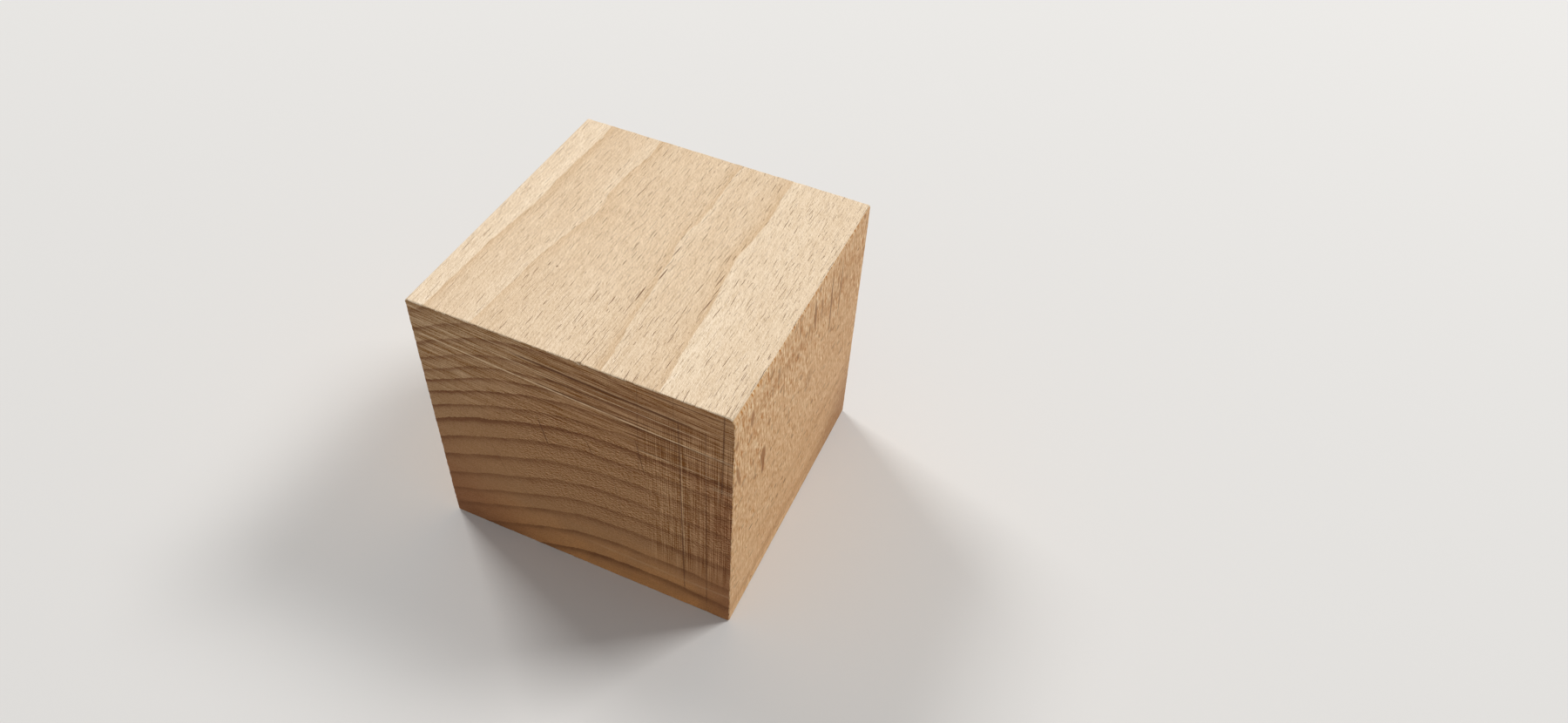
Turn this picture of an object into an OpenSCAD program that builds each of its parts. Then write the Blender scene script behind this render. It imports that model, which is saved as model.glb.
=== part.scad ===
// Wooden cube: a short length sawn off a planed square stick of beech.
// X runs across the stick, Y runs along the grain and Z is up.
// The origin is the middle of the face that the cube stands on.
// All sizes are in millimetres.

/* [Stick] */
// Width of the planed stick, from side to side
stick_w = 48; // [20:0.5:120]
// Height of the planed stick, from bottom to top
stick_h = 46; // [20:0.5:120]
// Length sawn off the stick, from end grain to end grain
sawn_l = 47; // [20:0.5:120]

/* [Arrises] */
// Radius rubbed on the four long arrises, which run along the grain
rubbed_r = 0.4; // [0.4:0.1:4]
// Width of the fine bevel round each sawn end
sawn_bevel = 0.2; // [0.05:0.05:0.35]

/* [Wear] */
// Width worn off each face at the top right corner of the front end
worn_w = 1.3; // [0.8:0.1:4]
// Length along the arris over which that wear fades out
worn_l = 16; // [6:0.5:18]
// Width of the chip that the saw broke out of the front end's top arris
chip_w = 1; // [0.4:0.1:4]
// Distance of the chip's middle from the right side
chip_from_right = 21.75; // [4:0.25:40]

/* [Hidden] */

BEECH = [0.87, 0.75, 0.58];
// How far a cutting shape reaches past what it cuts
PAST = 1;
// How far the worn cone stands proud, so that it crosses two faces it would only touch
PROUD = 0.01;
$fn = 64;

side_x = stick_w / 2;
end_y = sawn_l / 2;
rod_x = side_x - rubbed_r;
rod_low_z = rubbed_r;
rod_high_z = stick_h - rubbed_r;

// The wear is a cone that touches the top and the side and has its tip on the arris.
// Slope of the plane through the two lines where the cone touches them:
worn_slope = worn_w / (sqrt(2) * worn_l);
// Sine of the cone's half angle, and the lean of its axis under the arris:
worn_sine = sqrt(2) * worn_slope / sqrt(1 + 4 * pow(worn_slope, 2));
worn_lean = asin(sqrt(2) * worn_sine);
worn_reach = worn_l + 2 * worn_w + PAST;

// Turns what is drawn upwards to run along the grain, from the back end to the front.
module along_grain()
    translate([0, end_y, 0]) rotate([90, 0, 0]) children();

// One rounded corner of the stick, coned at both ends by the bevel.
module corner_rod()
    along_grain() {
        cylinder(h = sawn_bevel, r1 = rubbed_r - sawn_bevel, r2 = rubbed_r);
        translate([0, 0, sawn_bevel])
            cylinder(h = sawn_l - 2 * sawn_bevel, r = rubbed_r);
        translate([0, 0, sawn_l - sawn_bevel])
            cylinder(h = sawn_bevel, r1 = rubbed_r, r2 = rubbed_r - sawn_bevel);
    }

// Outline of the sawn length, thick across and bevelled at both ends.
module bevelled_outline(thick)
    polygon([
        [sawn_bevel - thick / 2, -end_y],
        [thick / 2 - sawn_bevel, -end_y],
        [thick / 2, sawn_bevel - end_y],
        [thick / 2, end_y - sawn_bevel],
        [thick / 2 - sawn_bevel, end_y],
        [sawn_bevel - thick / 2, end_y],
        [-thick / 2, end_y - sawn_bevel],
        [-thick / 2, sawn_bevel - end_y]
    ]);

// The stick's full width, between its rounded corners.
module wide_slab()
    translate([0, 0, rod_low_z])
        linear_extrude(rod_high_z - rod_low_z) bevelled_outline(stick_w);

// The stick's full height, between its rounded corners.
module tall_slab()
    translate([-rod_x, 0, stick_h / 2])
        rotate([90, 0, 90])
            linear_extrude(2 * rod_x) rotate(90) bevelled_outline(stick_h);

// The sawn length with every arris eased and nothing worn off it.
module sound_block() {
    wide_slab();
    tall_slab();
    for (x = [-rod_x, rod_x], z = [rod_low_z, rod_high_z])
        translate([x, 0, z]) corner_rod();
}

// What is worn off the top right corner of the front end: all that lies outside
// the plane through the cone's two touching lines, less the cone itself.
module worn_corner()
    translate([side_x, worn_l - end_y, stick_h])
        rotate([0, 45, 0])
            difference() {
                rotate([atan(worn_slope), 0, 0])
                    translate([-2 * worn_w, -worn_reach, 0])
                        cube([4 * worn_w, worn_reach, 2 * worn_w]);
                translate([0, 0, PROUD * sqrt(2)])
                    rotate([90 + worn_lean, 0, 0])
                        cylinder(
                            h = worn_reach + PAST,
                            r1 = 0,
                            r2 = (worn_reach + PAST) * tan(asin(worn_sine))
                        );
            }

// A chip in the arris of two square faces: a ball sunk so that it breaks
// the arris over the chip's width and reaches a quarter of that down each face.
module chip(width)
    rotate([45, 0, 0])
        translate([0, 0, width / 2])
            sphere(r = width / sqrt(2));

module beech_block()
    color(BEECH)
        difference() {
            sound_block();
            worn_corner();
            translate([side_x - chip_from_right, -end_y, stick_h])
                chip(chip_w);
        }

beech_block();
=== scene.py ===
# %% [markdown]
# # A wooden cube, sawn off a planed stick of beech
#
# The real thing is one piece of wood. A square stick is planed on four sides, and
# then a saw cuts a short length off it. So two of the six faces show end grain and
# saw marks, and four of them are planed smooth along the grain.
#
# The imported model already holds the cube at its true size. Here it gets its dress:
# a dense skin with real saw marks in it, and a beech that is worked out from the
# inside of the block, so that a growth ring which leaves through the end comes back
# in on the top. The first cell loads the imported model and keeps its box.

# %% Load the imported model
import math

import bpy
import numpy as np
from mathutils import Matrix, Vector, noise


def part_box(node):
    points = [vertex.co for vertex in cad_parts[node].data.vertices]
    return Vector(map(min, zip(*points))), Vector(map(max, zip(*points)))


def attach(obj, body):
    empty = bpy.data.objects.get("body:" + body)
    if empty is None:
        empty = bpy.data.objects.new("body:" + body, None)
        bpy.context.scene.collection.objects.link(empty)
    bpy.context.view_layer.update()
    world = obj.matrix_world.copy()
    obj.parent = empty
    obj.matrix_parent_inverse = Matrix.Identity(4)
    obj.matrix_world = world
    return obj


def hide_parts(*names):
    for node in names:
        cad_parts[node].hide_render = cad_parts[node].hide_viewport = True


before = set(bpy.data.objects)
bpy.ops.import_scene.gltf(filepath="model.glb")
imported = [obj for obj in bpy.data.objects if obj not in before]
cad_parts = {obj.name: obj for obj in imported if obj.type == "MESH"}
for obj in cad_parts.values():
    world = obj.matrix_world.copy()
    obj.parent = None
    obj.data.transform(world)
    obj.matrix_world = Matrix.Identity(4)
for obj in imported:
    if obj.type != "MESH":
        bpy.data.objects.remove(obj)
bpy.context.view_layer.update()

MM = 0.001
low, high = [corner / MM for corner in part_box("beech_block")]
width, length, height = high - low
print(f"the block is {width:.1f} x {length:.1f} x {height:.1f} mm")

# %% [markdown]
# ## The camera
#
# A small thing on a bench is looked at from close by and from above, with a wide
# lens, so its upright arrises run together towards the bottom. A camera is easiest
# to place by where it stands and by three turns: round the object, down towards it,
# and a slight tilt of the head.

# %% Camera
# Its place, its sensor and its lens are in millimetres.
CAMERA_PLACE = Vector((59.64, -104.36, 148.50))
CAMERA_ROUND = math.radians(20.36)
CAMERA_DOWN = math.radians(46.05)
CAMERA_TILT = math.radians(4.35)
SENSOR_WIDTH = 36.0
LENS = 25.70
NEAREST_SEEN = 10.0


def add_camera():
    """A camera that stands, looks and tilts by the values above."""
    camera = bpy.data.objects.new("camera", bpy.data.cameras.new("camera"))
    bpy.context.scene.collection.objects.link(camera)
    camera.data.sensor_fit = "HORIZONTAL"
    camera.data.sensor_width = SENSOR_WIDTH
    camera.data.lens = LENS
    camera.data.clip_start = NEAREST_SEEN * MM
    turn_round = Matrix.Rotation(CAMERA_ROUND, 4, "Z")
    look_down = Matrix.Rotation(math.pi / 2 - CAMERA_DOWN, 4, "X")
    tilt = Matrix.Rotation(CAMERA_TILT, 4, "Z")
    camera.matrix_world = Matrix.Translation(CAMERA_PLACE * MM) @ turn_round @ look_down @ tilt
    return camera


bpy.context.scene.camera = add_camera()
print("the camera stands", round(CAMERA_PLACE.length), "mm from the block's foot")

# %% [markdown]
# ## Sums with sockets
#
# Wood is made of many small sums: how far a point is from a ring, how dark a ray is
# there. Typed as nodes they would fill pages. One small class wraps a socket and
# lets Python's own signs add the Math nodes, and one method adds every other node:
# its type first, then its settings, then what goes into its sockets. The same two
# classes serve materials and Geometry Nodes, because both use the same Math node.


# %% Sockets that can be added up
class Wire:
    """One output of a node tree, used in sums as a number is."""

    def __init__(self, bench, socket):
        self.bench = bench
        self.socket = socket

    def __add__(self, other):
        return self.bench.sum("ADD", self, other)

    def __radd__(self, other):
        return self.bench.sum("ADD", other, self)

    def __sub__(self, other):
        return self.bench.sum("SUBTRACT", self, other)

    def __rsub__(self, other):
        return self.bench.sum("SUBTRACT", other, self)

    def __mul__(self, other):
        return self.bench.sum("MULTIPLY", self, other)

    def __rmul__(self, other):
        return self.bench.sum("MULTIPLY", other, self)

    def __truediv__(self, other):
        return self.bench.sum("DIVIDE", self, other)

    def __neg__(self):
        return self.bench.sum("MULTIPLY", self, -1.0)

    def __abs__(self):
        return self.bench.sum("ABSOLUTE", self)


class Bench:
    """A node tree to work in."""

    # The lowest share that lit takes, so that no colour goes black.
    DARKEST = -0.65

    def __init__(self, tree):
        self.tree = tree
        tree.nodes.clear()

    def node(self, kind, settings=None, sockets=None):
        """Adds a node, sets it up, feeds it, and returns a way to its outputs."""
        node = self.tree.nodes.new(kind)
        for name, value in (settings or {}).items():
            if name == "points":
                draw_curve(node, value)
            else:
                setattr(node, name, value)
        for place, value in (sockets or {}).items():
            if isinstance(value, Wire):
                self.tree.links.new(value.socket, node.inputs[place])
            else:
                node.inputs[place].default_value = value
        return lambda place: Wire(self, node.outputs[place])

    def sum(self, operation, *values):
        """One Math node."""
        return self.node("ShaderNodeMath", {"operation": operation}, dict(enumerate(values)))(0)

    def step(self, value, start, end):
        """0 before start, 1 after end and a smooth slope between them."""
        ends = {"Value": value, "From Min": start, "From Max": end}
        settings = {"interpolation_type": "SMOOTHSTEP", "clamp": False}
        return self.node("ShaderNodeMapRange", settings, ends)("Result")

    def most(self, first, *others):
        """The largest of several numbers."""
        for other in others:
            first = self.sum("MAXIMUM", first, other)
        return first

    def blend(self, share, first, second):
        """From the first number to the second."""
        return first + (second - first) * share

    def curve(self, value, points):
        """A curve drawn through given points, which run from the lowest value up."""
        start, end = points[0][0], points[-1][0]
        placed = [((at - start) / (end - start), height) for at, height in points]
        share = (value - start) / (end - start)
        return self.node("ShaderNodeFloatCurve", {"points": placed}, {"Value": share})("Value")

    def tint(self, share, first, second):
        """From the first colour to the second."""
        return self.node("ShaderNodeMix", {"data_type": "RGBA"}, {0: share, 6: first, 7: second})(2)

    def lit(self, colour, share, shift):
        """A colour made paler, or darker where the share is below 0, with a shift of hue."""
        parts = {0: self.most(share, self.DARKEST), 1: shift, 2: (1.0, 1.0, 1.0)}
        change = self.node("ShaderNodeVectorMath", {"operation": "MULTIPLY_ADD"}, parts)(0)
        return self.node("ShaderNodeVectorMath", {"operation": "MULTIPLY"}, {0: colour, 1: change})(0)

    def more(self, first, second):
        """Whether the first number is more than the second."""
        return self.sum("GREATER_THAN", first, second)

    def millimetres(self, place):
        """The three coordinates of a point, in millimetres."""
        scaled = self.node("ShaderNodeVectorMath", {"operation": "SCALE"}, {0: place, 3: 1 / MM})(0)
        axes = self.node("ShaderNodeSeparateXYZ", None, {0: scaled})
        return [axes(name) for name in "XYZ"]

    def at(self, x, y, z):
        """A point put together from three numbers."""
        return self.node("ShaderNodeCombineXYZ", None, {0: x, 1: y, 2: z})(0)

    def cloud(self, place, detail=2.0, roughness=0.5):
        """Soft noise from 0 to 1 with spots about one unit wide."""
        sockets = {"Vector": place, "Scale": 1.0, "Detail": detail, "Roughness": roughness}
        return self.node("ShaderNodeTexNoise", {"noise_dimensions": "3D"}, sockets)("Fac")

    def raised(self, place, towards_light, detail=2.0, roughness=0.5):
        """Noise as it looks in slanting light: pale before each bump and dark behind it."""
        parts = {0: place, 1: towards_light}
        moved = self.node("ShaderNodeVectorMath", {"operation": "ADD"}, parts)(0)
        return self.cloud(place, detail, roughness) - self.cloud(moved, detail, roughness)

    def speckle(self, place):
        """Cells about one unit wide, each with one point in it at random."""
        sockets = {"Vector": place, "Scale": 1.0, "Randomness": 1.0}
        return self.node("ShaderNodeTexVoronoi", {"feature": "F1"}, sockets)

    def wood(self, geometry, material, chosen):
        """Gives the chosen faces of a geometry their material."""
        sockets = {"Geometry": geometry, "Material": material, "Selection": chosen}
        return self.node("GeometryNodeSetMaterial", None, sockets)("Geometry")


def draw_curve(node, points):
    """Gives a Float Curve node straight lines through the points."""
    curve = node.mapping.curves[0]
    for x, y in points[1:-1]:
        curve.points.new(x, y)
    for point, (x, y) in zip(curve.points, points):
        point.location = (x, y)
        point.handle_type = "VECTOR"
    node.mapping.update()


# How a screen turns light into the numbers that it shows, which run up to 255.
SCREEN_FULL = 255
SCREEN_LIFT = 0.055
SCREEN_POWER = 2.4


def shade(red, green, blue):
    """A colour as it looks on a screen, turned into the light that makes it."""
    lifted = [(part / SCREEN_FULL + SCREEN_LIFT) / (1 + SCREEN_LIFT) for part in (red, green, blue)]
    return (*[part ** SCREEN_POWER for part in lifted], 1.0)


half_light = (1 + SCREEN_LIFT) * 0.5 ** (1 / SCREEN_POWER) - SCREEN_LIFT
print("half of full grey light is shown as", round(SCREEN_FULL * half_light))

# %% [markdown]
# ## Floor and light
#
# A part is shown best on a plain pale floor. Two large soft lamps stand behind the
# block, one to each side, high up. They light the top most, the right side less, and
# they leave the near end in its own shade, where only the floor and the room light
# it. That is what makes a cube read as three clear tones.

# %% Floor and light
# Half the floor's side is in metres.
FLOOR_HALF = 1.5
FLOOR_TONE = (0.80, 0.78, 0.75, 1.0)
FLOOR_ROUGHNESS = 0.9
FLOOR_SHINE = 0.2
ROOM_TONE = (0.95, 0.97, 1.0, 1.0)
ROOM_LIGHT = 0.34
# Each lamp: its name, its place in metres, its side in metres and its power in watts.
LAMPS = [
    ("lamp_right", (0.62, 0.62, 1.05), 0.40, 8.5),
    ("lamp_left", (-0.75, 0.42, 0.95), 0.35, 6.5),
]


def add_floor():
    """A flat pale floor that the block stands on."""
    corners = [(-1, -1), (1, -1), (1, 1), (-1, 1)]
    mesh = bpy.data.meshes.new("floor")
    mesh.from_pydata([(x * FLOOR_HALF, y * FLOOR_HALF, 0) for x, y in corners], [], [(0, 1, 2, 3)])
    floor = bpy.data.objects.new("floor", mesh)
    bpy.context.scene.collection.objects.link(floor)
    material = bpy.data.materials.new("pale_floor")
    material.use_nodes = True
    bench = Bench(material.node_tree)
    paint = {"Base Color": FLOOR_TONE, "Roughness": FLOOR_ROUGHNESS, "Specular IOR Level": FLOOR_SHINE}
    surface = bench.node("ShaderNodeBsdfPrincipled", None, paint)
    bench.node("ShaderNodeOutputMaterial", None, {"Surface": surface("BSDF")})
    mesh.materials.append(material)


def add_lamp(name, place, side, power):
    """A soft square lamp that faces the block."""
    data = bpy.data.lights.new(name, "AREA")
    data.size = side
    data.energy = power
    lamp = bpy.data.objects.new(name, data)
    bpy.context.scene.collection.objects.link(lamp)
    lamp.location = place
    lamp.rotation_euler = (-Vector(place)).to_track_quat("-Z", "Y").to_euler()


def light_room():
    """Even light from the whole room."""
    world = bpy.data.worlds.new("room")
    world.use_nodes = True
    bench = Bench(world.node_tree)
    glow = bench.node("ShaderNodeBackground", None, {"Color": ROOM_TONE, "Strength": ROOM_LIGHT})
    bench.node("ShaderNodeOutputWorld", None, {"Surface": glow("Background")})
    bpy.context.scene.world = world


add_floor()
light_room()
for lamp in LAMPS:
    add_lamp(*lamp)
bpy.context.scene.view_settings.view_transform = "Standard"
print(len(LAMPS), "lamps, room light", ROOM_LIGHT)

# %% [markdown]
# ## The net of the skin
#
# The block could be a box with a Bevel modifier. But it needs fine faces only in a
# few places: at the arrises, where the saw left its marks, and round a chip. So its
# skin is one closed net, cut by lines across, along and up. Each axis has a short
# list of stops, and each stop says how far apart the lines are from there on.

# %% Lines of the net
# Radius of the long arrises, width of the sawn ones, and each chip's place across and
# width, in millimetres.
EASED = 0.4
BEVEL = 0.2
CHIPS = [(2.25, 1.0), (0.1, 0.45)]
# The lines lie closest on an arris, and closer than elsewhere beside it, round the
# chips, on the right under the upright scratches, and high up where the saw cut deepest.
ON_ARRIS = 0.1
BESIDE_ARRIS = 1.5
BESIDE_END = 1.0
CHIPS_FROM = -0.3
CHIPS_TO = 3.1
SCRATCHED_FROM = 9
DEEP_CUTS_FROM = 33


def lines(stops):
    """Places along one axis: each stop has the gap to keep until the next stop."""
    places = []
    for (start, gap), (end, _) in zip(stops, stops[1:]):
        count = math.ceil((end - start) / gap)
        places.extend(np.linspace(start, end, count, endpoint=False))
    places.append(stops[-1][0])
    return np.array(places)


half_w = width / 2
half_l = length / 2
across_lines = lines([
    (-half_w, ON_ARRIS), (EASED - half_w, 0.28), (BESIDE_ARRIS - half_w, 0.55),
    (CHIPS_FROM, 0.14), (CHIPS_TO, 0.5), (SCRATCHED_FROM, 0.33),
    (half_w - BESIDE_ARRIS, 0.22), (half_w - EASED, ON_ARRIS), (half_w, 0),
])
along_lines = lines([
    (-half_l, BEVEL / 3), (BEVEL - half_l, 0.3), (BESIDE_END - half_l, 0.9),
    (half_l - BESIDE_END, 0.3), (half_l - BEVEL, BEVEL / 3), (half_l, 0),
])
up_lines = lines([
    (0, ON_ARRIS), (EASED, 0.28), (BESIDE_ARRIS, 0.28), (DEEP_CUTS_FROM, 0.19),
    (height - BESIDE_ARRIS, 0.19), (height - EASED, ON_ARRIS), (height, 0),
])
print("lines across, along and up:", len(across_lines), len(along_lines), len(up_lines))

# %% [markdown]
# ## The block's skin
#
# All crossings of those lines that lie on the outside of the block become points of
# the mesh. A point on an arris belongs to two faces and is made only once, so the
# net closes by itself. Each of the six sides is then a sheet of four-sided faces,
# and the order of its corners makes it look outwards.


# %% Skin of a block
def net_of_block(across, along, up):
    """Points and faces of a closed box that is cut by these lines."""
    shape = (len(across), len(along), len(up))
    outside = np.ones(shape, bool)
    outside[1:-1, 1:-1, 1:-1] = False
    number = np.full(shape, -1)
    number[outside] = np.arange(outside.sum())
    i, j, k = np.nonzero(outside)
    points = np.stack([across[i], along[j], up[k]], -1)
    sides = [
        number[-1, :, :], number[0, :, :].T,
        number[:, -1, :].T, number[:, 0, :],
        number[:, :, -1], number[:, :, 0].T,
    ]
    faces = [
        np.stack([s[:-1, :-1], s[1:, :-1], s[1:, 1:], s[:-1, 1:]], -1).reshape(-1, 4)
        for s in sides
    ]
    return points, np.concatenate(faces)


net, faces = net_of_block(across_lines, along_lines, up_lines)
print(len(net), "points and", 2 * len(faces), "triangles")

# %% [markdown]
# ## Arrises
#
# A plane leaves the four long arrises sharp, and handling rubs them to a fine round.
# One stretch of the top right arris is worn much rounder, and that wear fades out
# along it. The saw leaves its own arrises nearly sharp but ragged, as it tears the
# last fibres. Both are made by drawing the net's outer points in: a square corner of
# the net is mapped onto a quarter round, so that no face is folded or lost.

# %% Ease the arrises
WORN_WIDTH = 1.3
WORN_LENGTH = 16.0
# From place to place, a sawn bevel is this many times its width. The places lie on one
# long line: how far across a point is, plus RAG_RISE times its height from the middle,
# plus RAG_BACK at the back end.
RAG_LEAST = 0.6
RAG_MOST = 1.4
RAG_SEED = 12
RAG_PLACES = np.arange(-120, 240, 0.6)
RAG_RISE = 1.3
RAG_BACK = 90
# Keeps a division by nothing away.
TINY = 1e-9
mid_h = height / 2


def quarter(over_a, over_b):
    """How much of over_a is left when a square corner becomes a quarter round."""
    return over_a * np.sqrt(1 - over_b ** 2 / 2)


def past(value, limit, reach):
    """0 up to the limit and 1 at the reach beyond it."""
    return np.clip((np.abs(value) - limit) / reach, 0, 1)


def ease_long_arrises(points):
    """Rounds the arrises along the grain, and returns the radius used at each point."""
    x, y, z = points.T
    z = z - mid_h
    fading = WORN_WIDTH * (1 - (y + half_l) / WORN_LENGTH)
    radius = np.where((x > 0) & (z > 0), np.maximum(fading, EASED), EASED)
    over_x = past(x, half_w - radius, radius)
    over_z = past(z, mid_h - radius, radius)
    new_x = x - np.sign(x) * radius * (over_x - quarter(over_x, over_z))
    new_z = z - np.sign(z) * radius * (over_z - quarter(over_z, over_x))
    return np.stack([new_x, y, new_z + mid_h], -1), radius


def bevel_ends(points, radius):
    """Breaks the sawn arrises by a small ragged round."""
    x, y, z = points.T
    z = z - mid_h
    chance = np.random.default_rng(RAG_SEED)
    rag = chance.uniform(RAG_LEAST, RAG_MOST, len(RAG_PLACES))
    bevel = BEVEL * np.interp(x + RAG_RISE * z + RAG_BACK * (y > 0), RAG_PLACES, rag)
    # How far a point lies past the straight part of each side, and which way is out.
    gap_x = np.abs(x) - (half_w - radius)
    gap_z = np.abs(z) - (mid_h - radius)
    corner = (gap_x > 0) & (gap_z > 0)
    reach = np.hypot(np.maximum(gap_x, 0), np.maximum(gap_z, 0)) + np.minimum(np.maximum(gap_x, gap_z), 0)
    out_x = np.where(corner, gap_x / np.maximum(reach, TINY), gap_x >= gap_z) * np.sign(x)
    out_z = np.where(corner, gap_z / np.maximum(reach, TINY), gap_x < gap_z) * np.sign(z)
    # From 0 to 1 over the bevel, out to the rim and out to the end.
    rim = np.clip(1 - (radius - reach) / bevel, 0, 1)
    end = past(y, half_l - bevel, bevel)
    inward = bevel * (rim - quarter(rim, end))
    new_y = y - np.sign(y) * bevel * (end - quarter(end, rim))
    return np.stack([x - out_x * inward, new_y, z - out_z * inward + mid_h], -1)


eased_net, arris_radius = ease_long_arrises(net)
block_points = bevel_ends(eased_net, arris_radius)
print("arris radius from", EASED, "to", round(float(arris_radius.max()), 2), "mm")

# %% [markdown]
# ## Chips
#
# Where the saw came out of the front end, it broke two small chips out of the top
# arris. A chip is modelled by a ball that sits just outside the arris: every point
# inside the ball is pushed out to its surface. The ball is made lumpy by a little
# noise, because wood breaks along its fibres and never in a clean bowl.

# %% Break the chips out
# How closely the ball's lumps lie, and how much of its radius they add or take.
LUMPS_PER_MM = 3.0
LUMPINESS = 0.22


def break_chip(points, place, size):
    """Pushes points out of a lumpy ball that overlaps the top arris of the front end."""
    # So far out of both faces, the ball breaks the arris over the chip's size.
    lift = size / math.sqrt(8)
    clean = size / math.sqrt(2)
    middle = np.array([place, -half_l - lift, height + lift])
    away = points - middle
    distance = np.linalg.norm(away, axis=1)
    near = np.nonzero(distance < size)[0]
    for number in near:
        lump = noise.noise(Vector(points[number] * LUMPS_PER_MM))
        ball = clean * (1 + LUMPINESS * lump)
        if distance[number] < ball:
            points[number] = middle + away[number] * (ball / distance[number])
    return len(near)


for chip_place, chip_size in CHIPS:
    moved = break_chip(block_points, chip_place, chip_size)
    print("chip at", chip_place, "mm,", chip_size, "mm wide, looked at", moved, "points")

# %% [markdown]
# ## Saw marks
#
# A saw blade never leaves a smooth face. Its teeth draw long, slightly bowed lines
# across the end grain: most are fine, and a few teeth that stand proud cut deeper
# and leave a pale burr beside the cut. On the right of the front end a second pass
# left a comb of fine upright scratches. The marks are one recipe, written once and
# used twice: Geometry Nodes press it into the mesh, and the wood takes its colours
# from it later. Those colours are partly the marks' own and partly painted light and
# shade of their relief: painted shade in the cuts and painted highlight on the burrs.

# %% The single cuts of the saw
# How much the long marks bow, and how fast any cut runs out beyond its end.
BOW = 0.0006
RUN_OUT = 0.05
# A cut is gone at this many times its half width, and at its full strength at this many.
CUT_GONE = 1.6
CUT_FULL = 0.3
# The height about which the upright cuts lean.
LEAN_ABOUT = 23.0
# Each long cut: its height at the middle of the face, how fast it falls to the right,
# half its width, how strong it is, and the middle and the half length of its run.
PALE_CUTS = [
    (38.45, 0.066, 0.10, 1.0, 3, 24), (41.10, 0.066, 0.07, 0.75, -3, 21),
    (43.00, 0.068, 0.09, 0.4, -2, 21), (40.36, 0.058, 0.08, 0.35, -21, 3),
    (42.00, 0.052, 0.07, 0.5, 9, 4.5), (33.12, 0.017, 0.07, 0.5, 16, 4),
    (31.62, 0.028, 0.05, 0.6, 23, 1.2), (31.32, 0.028, 0.05, 0.6, 23, 1.2),
    (31.02, 0.028, 0.05, 0.5, 23, 1.2), (6.43, 0.018, 0.22, 0.16, 15, 9),
]
DARK_CUTS = [
    (42.58, 0.066, 0.16, 0.9, 5, 9.5), (38.68, 0.061, 0.10, 0.8, 3.5, 6.5),
    (40.48, 0.050, 0.12, 0.7, 1, 3.5), (38.81, 0.016, 0.10, 0.7, 13.5, 2.5),
    (37.98, 0.058, 0.08, 0.7, 10.5, 3.5), (38.42, 0.078, 0.08, 0.7, 20, 3),
    (35.91, 0.021, 0.10, 0.75, 17, 6.5), (45.57, 0.045, 0.12, 0.6, 17.5, 3),
    (33.32, 0.017, 0.09, 0.7, 14, 2), (32.97, 0.023, 0.09, 0.7, 19, 3),
]
# Each upright cut: how far across it is, how it leans, then as above.
PALE_UPRIGHTS = [(16.60, 0.012, 0.06, 0.35, 24, 10), (21.90, 0.0, 0.08, 0.3, 31.5, 1.5)]
DARK_UPRIGHTS = [
    (16.36, 0.012, 0.09, 0.75, 23, 17), (20.10, 0.006, 0.08, 0.6, 22, 18),
    (22.30, -0.010, 0.10, 0.8, 39, 7), (15.50, 0.0, 0.07, 0.35, 41, 4),
    (9.75, -0.030, 0.07, 0.4, 37, 7),
]


def cut(bench, off, along, half, strength, middle, reach):
    """One cut, from 0 beside it to its strength on it, that runs out at its ends."""
    beyond = (abs(along - middle) - reach) * RUN_OUT
    return bench.step(bench.most(abs(off), beyond), half * CUT_GONE, half * CUT_FULL) * strength


def cuts(bench, x, z, long_ones, uprights):
    """The strongest of a list of long cuts and a list of upright cuts."""
    unbowed = z - x * x * BOW
    strongest = 0.0
    for height_there, falls, *rest in long_ones:
        off = unbowed + x * falls - height_there
        strongest = bench.most(cut(bench, off, x, *rest), strongest)
    for across, lean, *rest in uprights:
        off = x + (z - LEAN_ABOUT) * lean - across
        strongest = bench.most(cut(bench, off, z, *rest), strongest)
    return strongest


def front_half(bench, y):
    """1 in the half of the block towards the front end, and 0 in the other."""
    return bench.step(y, 1.0, -1.0)


def single_cuts(bench, x, y, z):
    """How pale and how dark the strong cuts of the front end are, from 0 to 1."""
    patchy = bench.step(bench.cloud(bench.at(x / 5, y / 9, z / 5)), 0.1, 0.45) * front_half(bench, y)
    glint = bench.step(bench.cloud(bench.at(x / 0.9, y / 9, z / 0.5)), 0.3, 0.6) * 0.4 + 0.6
    pale = cuts(bench, x, z, PALE_CUTS, PALE_UPRIGHTS) * patchy * glint
    dark = cuts(bench, x, z, DARK_CUTS, DARK_UPRIGHTS) * patchy
    return pale, dark


print(len(PALE_CUTS) + len(DARK_CUTS), "long cuts,", len(PALE_UPRIGHTS) + len(DARK_UPRIGHTS), "upright")

# %% The fine scratches of the saw
# How far apart the teeth draw the long scratches, and how fast these fall to the right.
LONG_PITCH = 0.36
LONG_FALL = 0.068
# How far apart they draw the comb, where it starts and over what width it grows.
COMB_PITCH = 0.31
COMB_FROM = 8.5
COMB_GROWS = 5.5


def scratches(bench, x, y, z):
    """Fine marks of the teeth, below 0 where they are dark and above where they are pale."""
    bowed = z + x * LONG_FALL - x * x * BOW
    rubbed = bench.cloud(bench.at(bowed / 0.42, x / 16, y / 9), 2.0, 0.6) - 0.5
    thin = bench.cloud(bench.at(bowed / 0.20, x / 5, y / 9), 1.0) - 0.5
    drawn = bench.sum("SINE", (bowed + thin * 0.2) * (math.tau / LONG_PITCH)) * 0.14
    upper = bench.step(z + x * 0.07, 33.0, 42.0)
    fine = bench.blend(bench.step(z + x * 0.10, 22.0, 36.0), 0.1, 1.0)
    comb = bench.cloud(bench.at(x / 0.19, y / 9, z / 8), 1.0) - 0.5
    teeth = bench.sum("SINE", (x + comb * 0.2) * (math.tau / COMB_PITCH)) * 0.14
    comb_zone = bench.step(x, COMB_FROM, COMB_FROM + COMB_GROWS) * front_half(bench, y)
    comb_zone = comb_zone * bench.step(z, 6.0, 14.0) * bench.step(z, 44.0, 37.0)
    return rubbed * upper * 0.8 + (thin * 1.7 + drawn) * fine + (comb + teeth) * comb_zone * 1.5


print("a scratch every", LONG_PITCH, "mm, and in the comb every", COMB_PITCH, "mm")

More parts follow.
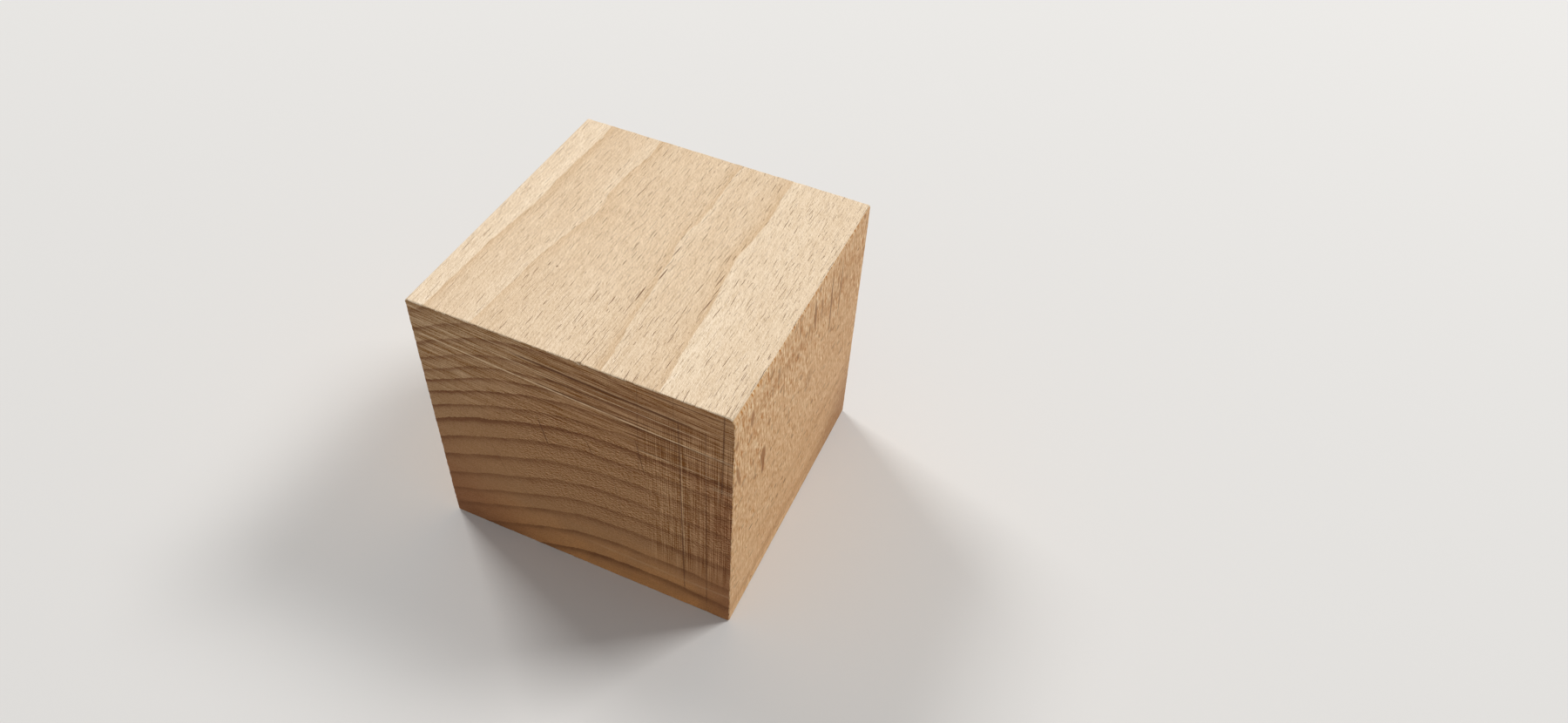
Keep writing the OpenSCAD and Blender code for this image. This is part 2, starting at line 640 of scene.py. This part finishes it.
# %% [markdown]
# ## Press the marks into both ends
#
# A Geometry Nodes modifier moves the points of the two ends along the grain, by the
# depth that the recipe gives there. Marks only go inwards, so the block keeps its
# size. The tree has named inputs for the depth and the half length, which are set by
# their identifiers. It ends by realising instances and by giving each side its wood:
# the ends are sawn, the top and bottom are flat sawn and the other two quarter sawn,
# and the way that a face looks tells which it is. The small round of a sawn arris
# looks more and more sideways, so most of it gets the pale wood of the side it joins.

# %% A tree that presses the marks in
# How many millimetres a cut of full strength goes below a face without marks.
CUT_DEPTH = 0.07
# Shares of that depth: how deep a face without marks lies, how much the scratches
# change that and how deep they go at most, and how far a burr stands up.
UNMARKED = 0.4
SCRATCH_SHARE = 0.3
SCRATCH_LOWEST = -0.35
BURR_SHARE = 0.35
# How squarely a face has to look along the grain to count as an end.
FACES_END = 0.85


def pressing_tree():
    """Geometry Nodes that lower the marks on the ends of a block."""
    tree = bpy.data.node_groups.new("saw_marks", "GeometryNodeTree")
    bench = Bench(tree)
    for name, kind in [
        ("Geometry", "NodeSocketGeometry"), ("Half length", "NodeSocketFloat"),
        ("Cut depth", "NodeSocketFloat"), ("Flat wood", "NodeSocketMaterial"),
        ("Quarter wood", "NodeSocketMaterial"), ("End wood", "NodeSocketMaterial"),
    ]:
        tree.interface.new_socket(name=name, in_out="INPUT", socket_type=kind)
    tree.interface.new_socket(name="Geometry", in_out="OUTPUT", socket_type="NodeSocketGeometry")
    given = bench.node("NodeGroupInput")
    x, y, z = bench.millimetres(bench.node("GeometryNodeInputPosition")(0))
    pale, dark = single_cuts(bench, x, y, z)
    scratch = bench.most(scratches(bench, x, y, z) * SCRATCH_SHARE, SCRATCH_LOWEST)
    level = scratch + pale * BURR_SHARE - dark
    on_end = bench.step(given("Half length") - abs(y), BEVEL * 1.5, BEVEL * 0.5)
    depth = bench.most(UNMARKED - level, 0.0) * on_end * given("Cut depth")
    inward = depth * bench.sum("SIGN", y) * -MM
    offset = {"Geometry": given("Geometry"), "Offset": bench.at(0.0, inward, 0.0)}
    pressed = bench.node("GeometryNodeSetPosition", None, offset)("Geometry")
    real = bench.node("GeometryNodeRealizeInstances", None, {"Geometry": pressed})("Geometry")
    looks = bench.node("ShaderNodeSeparateXYZ", None, {0: bench.node("GeometryNodeInputNormal")(0)})
    sideways, endways, upwards = (abs(looks(name)) for name in "XYZ")
    dressed = bench.wood(real, given("Flat wood"), True)
    dressed = bench.wood(dressed, given("Quarter wood"), bench.more(sideways, upwards))
    dressed = bench.wood(dressed, given("End wood"), bench.more(endways, FACES_END))
    bench.node("NodeGroupOutput", None, {"Geometry": dressed})
    return tree


def press(block, tree, values):
    """Runs the tree on a block and keeps its result as a plain mesh."""
    modifier = block.modifiers.new("saw marks", "NODES")
    modifier.node_group = tree
    sockets = {s.name: s.identifier for s in tree.interface.items_tree if s.in_out == "INPUT"}
    for name, value in values.items():
        modifier[sockets[name]] = value
    bpy.context.view_layer.update()
    finished = block.evaluated_get(bpy.context.evaluated_depsgraph_get())
    mesh = bpy.data.meshes.new_from_object(finished)
    block.modifiers.remove(modifier)
    block.data = mesh
    mesh.name = block.name
    return mesh


# %% [markdown]
# ## Growth rings
#
# A tree grows a new sleeve of wood each year, pale in spring and dark in autumn. In
# this block the sleeves are arches: on the left they fall, low down they lie nearly
# flat on the right, and high up they fall on both sides. So a sum lifts each point by
# as much as its ring has fallen there. What comes out is the height of that ring at
# its crown, and a list of ring widths turns this height into an age in years.

# %% The age of the wood at a point
# Widths of the rings at their crown in mm, from the lowest up.
RING_WIDTHS = [
    4.95, 4.6, 4.5, 3.6, 3.9, 4.1, 3.7, 3.5, 2.4, 2.6, 2.1, 1.8, 2.0, 2.7, 2.3, 3.1,
    6.8, 3.0,
]
CROWN_TOP = sum(RING_WIDTHS)
# How far up a ring near the top swings on its way along the block: place, then swing.
# At SWING_FROM there is none. It is full SWING_OVER higher up, and reversed below.
SWING = [(-23.5, 0.0), (-8, 0.3), (3.5, 0.85), (12, 0.55), (20, 0.75), (23.5, 0.7)]
SWING_FROM = 30.0
SWING_OVER = 16.0


def fallen(bench, x, slope, crown, roundness):
    """How far a ring has fallen on the side where x is less than its crown."""
    away = x - crown
    return (bench.sum("SQRT", away * away + roundness ** 2) - away) * (slope / 2)


def crown_height(bench, x, y, z):
    """The height in mm that this point's ring has at its crown."""
    deep = fallen(bench, x, 0.485, 0.0, 6.3)
    shallow = fallen(bench, x, 0.645, -13.4, 4.6)
    lifted = z + shallow
    left_fall = bench.blend(bench.step(lifted, 12.0, 62.0), deep, shallow)
    right_fall = fallen(bench, -x, 0.40, 0.9, 0.95) * bench.step(lifted, 37.0, 45.0)
    low_fall = fallen(bench, -x, 0.12, -15.0, 4.0) * bench.step(z, 18.0, 4.0)
    swing = bench.curve(y, SWING) * (z - SWING_FROM) / SWING_OVER
    wander = (bench.cloud(bench.at(x / 6, y / 40, z / 5)) - 0.5) * 0.9
    tremble = (bench.cloud(bench.at(x / 0.9, y / 22, z / 0.9), 3.0, 0.6) - 0.5) * 0.30
    feather = (bench.cloud(bench.at(x / 0.3, y / 3.5, z / 0.3), 1.0) - 0.5) * 0.28
    return z + left_fall + right_fall + low_fall + swing + wander + tremble + feather


def age_of(bench, crown):
    """Turns a crown height into years, ring by ring."""
    years = len(RING_WIDTHS)
    tops = np.concatenate([[0], np.cumsum(RING_WIDTHS)])
    points = [(float(top), year / years) for year, top in enumerate(tops)]
    return bench.curve(crown, points) * years


print(len(RING_WIDTHS), "rings, up to", round(CROWN_TOP, 1), "mm")

# %% [markdown]
# ## Rays
#
# Beech is known by its rays: thin upright plates of cells that run from the heart of
# the tree outwards. Cut square across, on the top, they show as short dark dashes
# along the grain. Cut along, on the right side, they are broad flecks. On the ends
# they are fine lines that fan out. All three are one pattern: cells that are long
# outwards, short along the grain and very thin across, with one plate in each.

# %% Plates of ray cells
# Where the heart of the tree was, across and up, and how far from it the spacing of
# the rays is true. The heart lies below the block.
HEART = (13.0, -42.0)
FAN_RADIUS = 88.0
# Each kind of ray: its spacing across, along and outwards, its half length and its
# half width.
TOP_RAYS = (1.0, 3.6, 9.0, 1.5, 0.038)
SMALL_TOP_RAYS = (0.6, 1.7, 6.0, 0.65, 0.035)
SIDE_AND_END_RAYS = (0.95, 2.2, 9.0, 0.85, 0.085)


def rays(bench, x, y, z, crown, across, along, outward, reach, thick):
    """Ray plates from 0 to 1: their spacing, then their half length and half width."""
    turn = bench.sum("ARCTAN2", x - HEART[0], z - HEART[1]) * FAN_RADIUS
    sway = (bench.cloud(bench.at(x / 4, y / 3, z / 4)) - 0.5) * 0.5
    place = bench.at((turn + sway) / across, y / along, crown / outward)
    cell = bench.speckle(place)
    gap = bench.node("ShaderNodeVectorMath", {"operation": "SUBTRACT"}, {0: place, 1: cell("Position")})
    gaps = bench.node("ShaderNodeSeparateXYZ", None, {0: gap(0)})
    chance = bench.node("ShaderNodeSeparateColor", None, {0: cell("Color")})
    half_long = chance("Red") * reach * 0.8 + reach * 0.35
    half_thick = chance("Green") * thick * 0.7 + thick * 0.55
    off_long = gaps("Y") * along / half_long
    off_thick = gaps("X") * across / half_thick
    inside = off_long * off_long + off_thick * off_thick
    return bench.step(inside, 1.2, 0.35) * (chance("Blue") * 0.8 + 0.2)


print("the heart of the tree lay", -HEART[1], "mm below the block's foot")

# %% [markdown]
# ## Marks that are there only once
#
# Some marks can't be left to chance: a few broad flecks on the right side, where a
# ray lies right in the surface, some dark pin spots, and stains on the front end.
# Each is a soft long spot with a place and a size of its own.

# %% Single flecks and spots
# Flecks on the right side: along, up, half width, half height, lean, strength.
SIDE_FLECKS = [
    (9.5, 37.6, 0.34, 7.6, -0.05, 0.85), (13.2, 37.6, 0.28, 6.4, 0.0, 0.75),
    (2.9, 41.2, 0.50, 3.4, -0.08, 0.8), (1.0, 39.8, 0.35, 1.2, 0.0, 0.5),
    (-2.7, 42.8, 0.26, 1.8, 0.0, 0.7), (-2.8, 38.0, 0.45, 0.8, 0.0, 0.6),
    (5.6, 40.3, 0.32, 2.2, 0.0, 0.6), (12.0, 40.4, 0.30, 1.9, 0.0, 0.5),
    (-9.6, 40.6, 0.30, 2.3, 0.06, 0.65), (-11.6, 39.6, 0.25, 1.2, 0.0, 0.55),
    (-7.5, 35.6, 0.22, 1.6, 0.0, 0.55), (-11.1, 31.9, 0.25, 0.8, 0.0, 0.5),
    (-17.2, 31.1, 0.28, 0.9, 0.0, 0.65), (-16.3, 28.0, 0.25, 2.0, 0.0, 0.4),
    (-4.8, 28.0, 0.30, 2.0, -0.1, 0.4), (-12.4, 43.6, 0.25, 1.8, 0.0, 0.45),
]
# Broad brown flecks on the right side: as above.
BROAD_FLECKS = [
    (-13.8, 28.7, 0.95, 2.2, 0.03, 0.9), (-13.6, 26.6, 0.55, 2.3, 0.05, 1.0),
    (-18.1, 40.9, 0.65, 1.8, 0.0, 0.75), (-22.0, 33.6, 0.55, 3.2, -0.25, 0.7),
    (2.6, 28.4, 1.6, 2.2, 0.0, 0.3),
]
# Pin spots on the right side: as above.
SIDE_SPOTS = [
    (5.2, 20.7, 0.55, 0.34, 0.0, 0.8), (-2.4, 20.6, 0.5, 0.28, 0.0, 0.8),
    (-6.3, 18.1, 0.6, 0.25, 0.0, 0.6), (-8.0, 15.1, 0.6, 0.3, 0.0, 0.75),
    (-5.3, 13.9, 0.5, 0.3, 0.0, 0.7), (-16.9, 16.0, 0.8, 0.3, 0.0, 0.8),
    (-7.0, 11.5, 0.5, 0.4, 0.0, 0.7), (-4.2, 11.9, 0.6, 0.4, 0.0, 0.8),
    (-10.3, 17.8, 0.6, 0.25, 0.0, 0.4), (-10.9, 27.0, 0.35, 0.45, 0.0, 0.6),
    (9.6, 24.2, 0.6, 0.3, 0.0, 0.35), (-21.3, 7.0, 0.8, 0.35, 0.0, 0.5),
]
# Long dark dashes on the top: across, along, half width, half length, lean, strength.
TOP_DASHES = [
    (3.0, -8.6, 0.11, 1.9, 0.0, 0.9), (3.9, -4.0, 0.11, 1.6, 0.02, 0.9),
    (3.0, -3.2, 0.10, 0.9, 0.0, 0.7), (3.4, 1.2, 0.10, 1.5, 0.05, 0.8),
    (12.0, -6.6, 0.10, 1.6, 0.04, 0.8), (11.4, -1.6, 0.10, 1.7, 0.04, 0.75),
    (10.5, 3.0, 0.08, 1.5, -0.04, 0.6), (17.1, -4.8, 0.07, 1.2, 0.0, 0.6),
    (-11.8, -11.0, 0.08, 1.0, 0.0, 0.6), (-10.9, -9.0, 0.10, 0.5, 0.0, 0.7),
    (-9.7, -9.0, 0.16, 0.18, 0.0, 0.9), (21.9, -16.4, 0.07, 0.9, 0.0, 0.6),
]
# Rays that show on the front end: across, up, half width, half height, lean, strength.
FRONT_RAYS = [
    (-4.9, 29.1, 0.13, 3.4, -0.22, 0.75), (2.4, 29.4, 0.11, 1.8, -0.30, 0.65),
    (10.3, 31.4, 0.11, 4.2, -0.165, 0.7), (-14.0, 20.0, 0.09, 8.0, -0.34, 0.25),
    (6.3, 20.0, 0.08, 9.0, -0.12, 0.25), (-9.5, 12.0, 0.08, 8.0, -0.30, 0.25),
]
# Long stains on the front end: up, across, half height, half length, rise, strength.
FRONT_STAINS = [
    (40.05, 12.5, 0.60, 9.0, -0.06, 0.75), (36.6, 14.0, 0.7, 8.0, -0.05, 0.4),
    (13.2, 19.5, 0.9, 7.0, 0.02, 0.7), (3.8, 18.0, 0.9, 8.0, 0.0, 0.3),
    (2.2, -21.5, 1.8, 3.5, 0.0, 0.3), (41.5, 9.0, 3.2, 16.0, -0.06, 0.25),
]
# Long faint bands on the right side, where a ring lies in the surface: up, along, then
# as above.
SIDE_BANDS = [
    (39.2, 0.0, 1.7, 34.0, -0.07, 0.6), (28.2, -14.0, 1.0, 9.0, 0.0, 0.35),
    (12.3, 5.0, 1.0, 28.0, 0.06, 0.65), (3.2, 0.0, 1.3, 34.0, 0.0, 0.7),
]


def soft_spot(bench, u, v, place_u, place_v, half_u, half_v, lean, strength):
    """A long soft spot at one place of a face."""
    off_v = v - place_v
    off_u = (u - place_u - off_v * lean) / half_u
    off_v = off_v / half_v
    return bench.step(off_u * off_u + off_v * off_v, 1.1, 0.25) * strength


def soft_spots(bench, u, v, spots):
    """The strongest of a list of soft spots."""
    strongest = 0.0
    for spot in spots:
        strongest = bench.most(soft_spot(bench, u, v, *spot), strongest)
    return strongest


print(len(SIDE_FLECKS) + len(BROAD_FLECKS) + len(SIDE_SPOTS), "single marks on the right side")

# %% [markdown]
# ## The beech itself
#
# Everything meets here. The wood is asked, point by point, how old it is and whether
# a ray passes. Then it depends on the cut. Wood that is cut along the grain is pale
# and a little silky. Cut across, the open ends of its fibres swallow the light, so
# the ends are much darker, and that is where the saw marks show.
#
# One material for the whole block would have to work out every cut at every point.
# Three materials, one for each kind of cut, are quicker. They ask the same wood, so
# a ring still runs on from one face to the next across the arris.

# %% Wood at one point
# The rays' brown where they are darkest, and how much planed or sawn wood mirrors.
RAY_BROWN = shade(112, 68, 32)
WOOD_SHINE = 0.35


def start_wood(name):
    """A material that knows its place in the block, its crown height and its age."""
    material = bpy.data.materials.new(name)
    material.use_nodes = True
    bench = Bench(material.node_tree)
    x, y, z = bench.millimetres(bench.node("ShaderNodeTexCoord")("Object"))
    crown = crown_height(bench, x, y, z)
    return material, bench, (x, y, z), crown, age_of(bench, crown)


def finish_wood(bench, colour, rough, level, depth):
    """The shader of a wood: its colour, its roughness, and its relief with a depth in mm."""
    bump = {"Strength": 1.0, "Distance": depth * MM, "Height": level}
    relief = bench.node("ShaderNodeBump", None, bump)("Normal")
    paint = {"Base Color": colour, "Roughness": rough, "Normal": relief, "Specular IOR Level": WOOD_SHINE}
    surface = bench.node("ShaderNodeBsdfPrincipled", None, paint)
    bench.node("ShaderNodeOutputMaterial", None, {"Surface": surface("BSDF")})
    print("made of", len(bench.tree.nodes), "nodes")


# %% [markdown]
# ### Flat sawn wood
#
# The top and bottom are cut along the rings, so each ring shows as a broad band. It
# starts pale on the side towards the heart and grows a little browner outwards, up to
# the sharp edge where the next band starts pale again. The last rings are paler than
# the rest. The rays show as short thin dashes, fainter on the left.

# %% Flat sawn beech
FLAT_PALE = shade(245, 222, 191)
FLAT_DARK = shade(221, 188, 148)
# How pale a planed ring is, from its first spring wood to its last autumn wood.
PLANED_RING = [
    (0, 1), (0.06, 0.85), (0.15, 0.66), (0.3, 0.57), (0.7, 0.47), (0.85, 0.3), (0.93, 0.1), (0.97, 0),
    (1, 0),
]
# From this year on the rings are paler.
PALE_YEARS = 16
# How much red, green and blue change where a fibre is paler or darker than the rest.
FLAT_SHIFT = (0.80, 1.0, 1.3)


def flat_sawn_beech():
    """The planed top and bottom."""
    material, bench, (x, y, z), crown, year = start_wood("flat_sawn_beech")
    tone = bench.curve(bench.sum("FRACT", year), PLANED_RING) * 0.6 + 0.10
    tone = tone + bench.step(year, PALE_YEARS, PALE_YEARS + 0.05) * 0.26
    bloom = bench.cloud(bench.at(x / 3, y / 26, z / 3), 3.0) - 0.5
    colour = bench.tint(tone + bloom * 0.5, FLAT_DARK, FLAT_PALE)
    fibre = bench.cloud(bench.at(x / 0.14, y / 1.6, z / 0.14), 1.0) - 0.5
    # Painted light and shade of the fine grit: pale before each grain, dark behind.
    grit_light_shade = bench.raised(bench.at(x / 0.15, y / 0.4, z / 0.15), (0.4, 0.3, 0.0), 1.0)
    colour = bench.lit(colour, fibre * 0.6 + grit_light_shade * 0.65, FLAT_SHIFT)
    ray = rays(bench, x, y, z, crown, *TOP_RAYS) * 1.15
    small = rays(bench, x + 31.0, y + 17.0, z, crown, *SMALL_TOP_RAYS) * 0.6
    dashes = soft_spots(bench, x, y, TOP_DASHES) * bench.step(z, 30.0, 40.0)
    ray = bench.most(bench.most(ray, small) * bench.blend(bench.step(x, -22.0, 2.0), 0.6, 1.05), dashes)
    colour = bench.tint(ray, colour, RAY_BROWN)
    finish_wood(bench, colour, rough=ray * 0.2 + 0.55, level=fibre - ray * 0.5, depth=0.05)
    return material


# %% [markdown]
# ### Quarter sawn wood
#
# The left and right sides are cut across the rings and nearly along the rays. The
# rings are only faint level bands here, and the wood looks grained like leather, more
# so high up and less so in calm patches. Where a ray comes to the surface it is a
# brown fleck, and the plane has lifted the fibres a little. The left side is calmer
# than the right, and on both the grain fades towards the rubbed arrises. Light and
# shade are painted into the colour as well: each lifted fibre is pale on one side and
# dark on the other, the pits are darkened, and painted shade deepens towards the back,
# most of all at the lower back.

# %% Quarter sawn beech
QUARTER_PALE = shade(228, 183, 133)
QUARTER_DARK = shade(206, 156, 104)
# Painted shade with a warm cast, at the lower back of the sides.
QUARTER_PAINTED_LOW_SHADE = shade(180, 130, 82)
FLECK_BROWN = shade(150, 98, 46)
BROAD_BROWN = shade(160, 102, 44)
QUARTER_SHIFT = (0.53, 1.0, 1.6)
# How far in from the side's flat face the grain is still clear, and how far in, on the
# round of an arris, it is gone.
GRAIN_CLEAR = 0.05
GRAIN_GONE = 0.4


def quarter_sawn_beech():
    """The planed left and right sides."""
    material, bench, (x, y, z), crown, year = start_wood("quarter_sawn_beech")
    right = bench.step(x, 0.0, 1.0)
    band = soft_spots(bench, z, y, SIDE_BANDS) * right + bench.sum("COSINE", year * math.tau) * 0.12
    bloom = bench.cloud(bench.at(x / 3, y / 12, z / 5), 3.0) - 0.5
    # The tone holds painted shade that deepens towards the back.
    tone = band * 0.8 + bloom * 0.9 + bench.step(y, -6.0, 24.0) * 0.3 + 0.15
    colour = bench.tint(tone, QUARTER_PALE, QUARTER_DARK)
    # Painted shade at the lower back of the side.
    colour = bench.tint(bench.step(y * 0.8 - z, -2.0, 16.0), colour, QUARTER_PAINTED_LOW_SHADE)
    leather = bench.cloud(bench.at(x / 0.5, y / 0.42, z / 1.05), 3.0, 0.75) - 0.5
    # Painted light and shade of the lifted fibres: pale on the side towards the light, dark behind.
    lifted_fibre_light_shade = bench.raised(bench.at(x / 0.8, y / 0.5, z / 1.6), (0.0, 0.35, 0.2), 2.0, 0.6)
    upright = bench.cloud(bench.at(x / 4, y / 0.36, z / 3), 2.0, 0.6) - 0.5
    level = bench.cloud(bench.at(x / 4, y / 7, z / 0.5), 2.0) - 0.5
    high_up = bench.step(z + bloom * 12, 26.0, 40.0)
    rough = bench.step(z + bloom * 30, 0.0, 26.0) * 0.6 + 0.4 + high_up * 0.3
    calm = bench.step(bench.cloud(bench.at(x / 4, y / 2.2, z / 3)), 0.35, 0.65)
    rough = rough * bench.blend(calm, 1.35, 0.55)
    grain = (leather * 1.4 + lifted_fibre_light_shade * 1.5) * rough + upright * (high_up * 1.7 + 0.9) + level * 0.6
    clear = bench.step(abs(x), half_w - GRAIN_GONE, half_w - GRAIN_CLEAR) * bench.blend(right, 0.5, 1.0)
    # Painted shade in the pits of the grain.
    pit_painted_shade = bench.step(leather - upright * 0.4, -0.15, -0.32) * rough * clear * 0.5
    colour = bench.lit(colour, grain * clear, QUARTER_SHIFT)
    ray = rays(bench, x, y, z, crown, *SIDE_AND_END_RAYS) * 0.6
    fleck = bench.most(soft_spots(bench, y, z, SIDE_FLECKS), soft_spots(bench, y, z, SIDE_SPOTS))
    broad = soft_spots(bench, y, z, BROAD_FLECKS) * right * bench.step(leather - upright, -0.5, -0.2)
    colour = bench.tint(broad, colour, BROAD_BROWN)
    streak = bench.step(upright, 0.10, 0.26) * high_up * clear * 0.5
    colour = bench.tint(bench.most(ray, fleck * right, streak, pit_painted_shade), colour, FLECK_BROWN)
    finish_wood(bench, colour, rough=0.6, level=upright - ray * 0.5, depth=0.04)
    return material


# %% [markdown]
# ### Sawn ends
#
# End grain is a bundle of open tubes. It is dark, its rings stand out as brown bands
# that deepen upwards and stop at a sharp upper side, and its rays are hairlines. Over
# that lie the scratches of the saw, dark where a tooth dug in and pale where it left
# a burr, and their colour also holds painted shade in the cuts and painted highlight
# on the burrs. Low on the left the saw ran clean, and in the middle it left a short
# fuzz, whose colour is painted light and shade: pale before each tuft, dark behind.
# The front end has painted reflected light along its foot, a warmer and paler band, and
# painted shade, darker and redder, at its lower left and along its right except high
# up. Stains, single cuts, the comb and a few strong rays are on that end only.

# %% Sawn beech
END_WARM = shade(178, 132, 88)
END_GREY = shade(188, 149, 107)
# Painted reflected light: a warm, pale band along the foot of the front end.
END_FOOT_PAINTED_BOUNCE = shade(233, 163, 96)
# Painted shade with a warm cast, at the front end's lower left and along its right.
END_RED_PAINTED_SHADE = shade(158, 104, 64)
END_RING = shade(130, 82, 44)
# The dark of the rays and of the cuts; in the cuts it is partly painted shade.
END_DARK = shade(100, 60, 32)
# The burrs' own pale colour with a painted highlight on them.
BURR_PALE_AND_HIGHLIGHT = shade(244, 212, 170)
# How dark a sawn ring is, from its first spring wood to its last autumn wood.
SAWN_RING = [
    (0, 0), (0.4, 0.06), (0.55, 0.15), (0.65, 0.24), (0.72, 0.4), (0.78, 0.58), (0.84, 0.8), (0.89, 0.97),
    (0.96, 1), (0.985, 0.85), (1, 0),
]
SAWN_SHIFT = (0.70, 1.0, 1.5)
# How dark each of the rings is where it is sawn, from the lowest up.
RING_DEPTHS = [
    0.55, 0.46, 0.46, 0.47, 0.48, 0.5, 0.6, 0.85, 0.6, 0.75, 0.62, 0.6, 0.6, 0.6, 0.5, 0.5, 0.4,
]


def sawn_beech():
    """The two sawn ends."""
    material, bench, (x, y, z), crown, year = start_wood("sawn_beech")
    bloom = bench.cloud(bench.at(x / 5, y / 20, z / 4), 3.0) - 0.5
    colour = bench.tint(bench.step(z - x * 0.9 + bloom * 16, 32.0, 64.0), END_WARM, END_GREY)
    front = front_half(bench, y)
    # Painted reflected light along the foot of the front end.
    colour = bench.tint(bench.step(z + bloom * 8, 13.0, -8.0) * front, colour, END_FOOT_PAINTED_BOUNCE)
    # Painted shade, darker and redder, low on the left and along the right except high up.
    edge = bench.step(x + bloom * 8, 14.0, 28.0) * bench.step(z, 40.0, 28.0)
    red = bench.most(bench.step(z + x * 1.1 + bloom * 10, 1.0, -24.0), edge) * front
    colour = bench.tint(red, colour, END_RED_PAINTED_SHADE)
    clear = bench.blend(bench.step(z + x * 0.5, 36.0, 8.0), 0.75, 0.95)
    depths = bench.curve(year, [(number + 0.9, depth) for number, depth in enumerate(RING_DEPTHS)])
    ring = bench.curve(bench.sum("FRACT", year), SAWN_RING) * depths * (clear + bloom * 1.2) * 1.5
    ring = bench.most(ring, soft_spots(bench, z, x, FRONT_STAINS) * front)
    colour = bench.tint(ring, colour, END_RING)
    pores = bench.cloud(bench.at(x / 0.20, y / 5, z / 0.17), 2.0, 0.7) - 0.5
    pores = pores * bench.blend(bench.step(z + x * 0.1, 8.0, 28.0), 1.1, 1.8)
    tuft = bench.at((x + z * 0.25) / 0.5, y / 5, (z - x * 0.25) / 0.22)
    # The fuzz is relief in the bump and painted light and shade in the colour.
    fuzz_and_painted_shading = bench.raised(tuft, (0.2, 0.0, 0.5), 2.0, 0.6)
    fuzz_and_painted_shading = fuzz_and_painted_shading * bench.step(z, 8.0, 18.0) * bench.step(x, -16.0, -4.0)
    fuzz_and_painted_shading = fuzz_and_painted_shading * bench.step(z + x * 0.07, 38.0, 31.0)
    # The scratches' colour is partly their own and partly painted light and shade of their relief.
    scratch = scratches(bench, x, y, z)
    colour = bench.lit(colour, scratch * 1.5 + fuzz_and_painted_shading * 4.0 + pores * 0.9, SAWN_SHIFT)
    ray = rays(bench, x, y, z, crown, *SIDE_AND_END_RAYS) * 0.15
    ray = bench.most(ray, soft_spots(bench, x, z, FRONT_RAYS) * front)
    # Strong cuts: painted shade in each cut and painted highlight on each burr, over their own colour.
    pale, dark = single_cuts(bench, x, y, z)
    colour = bench.tint(bench.most(ray, dark), colour, END_DARK)
    colour = bench.tint(pale, colour, BURR_PALE_AND_HIGHLIGHT)
    finish_wood(bench, colour, rough=0.85, level=scratch * 0.5 + fuzz_and_painted_shading + pores, depth=0.07)
    return material


# %% [markdown]
# ## Put the block together
#
# The points and faces become a mesh, the marks are pressed into it, and the piece
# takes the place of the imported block. It stays at the origin, because its place is
# already in its points.

# %% Make the block
def make_block():
    """The finished block, as one plain mesh."""
    mesh = bpy.data.meshes.new("beech_cube")
    mesh.from_pydata((block_points * MM).tolist(), [], faces.tolist())
    mesh.polygons.foreach_set("use_smooth", [True] * len(mesh.polygons))
    block = bpy.data.objects.new("beech_cube", mesh)
    bpy.context.scene.collection.objects.link(block)
    press(block, pressing_tree(), {
        "Half length": half_l, "Cut depth": CUT_DEPTH, "Flat wood": flat_sawn_beech(),
        "Quarter wood": quarter_sawn_beech(), "End wood": sawn_beech(),
    })
    return block


block = make_block()
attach(block, "root")
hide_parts("beech_block")
print(len(block.data.polygons), "faces in", [wood.name for wood in block.data.materials])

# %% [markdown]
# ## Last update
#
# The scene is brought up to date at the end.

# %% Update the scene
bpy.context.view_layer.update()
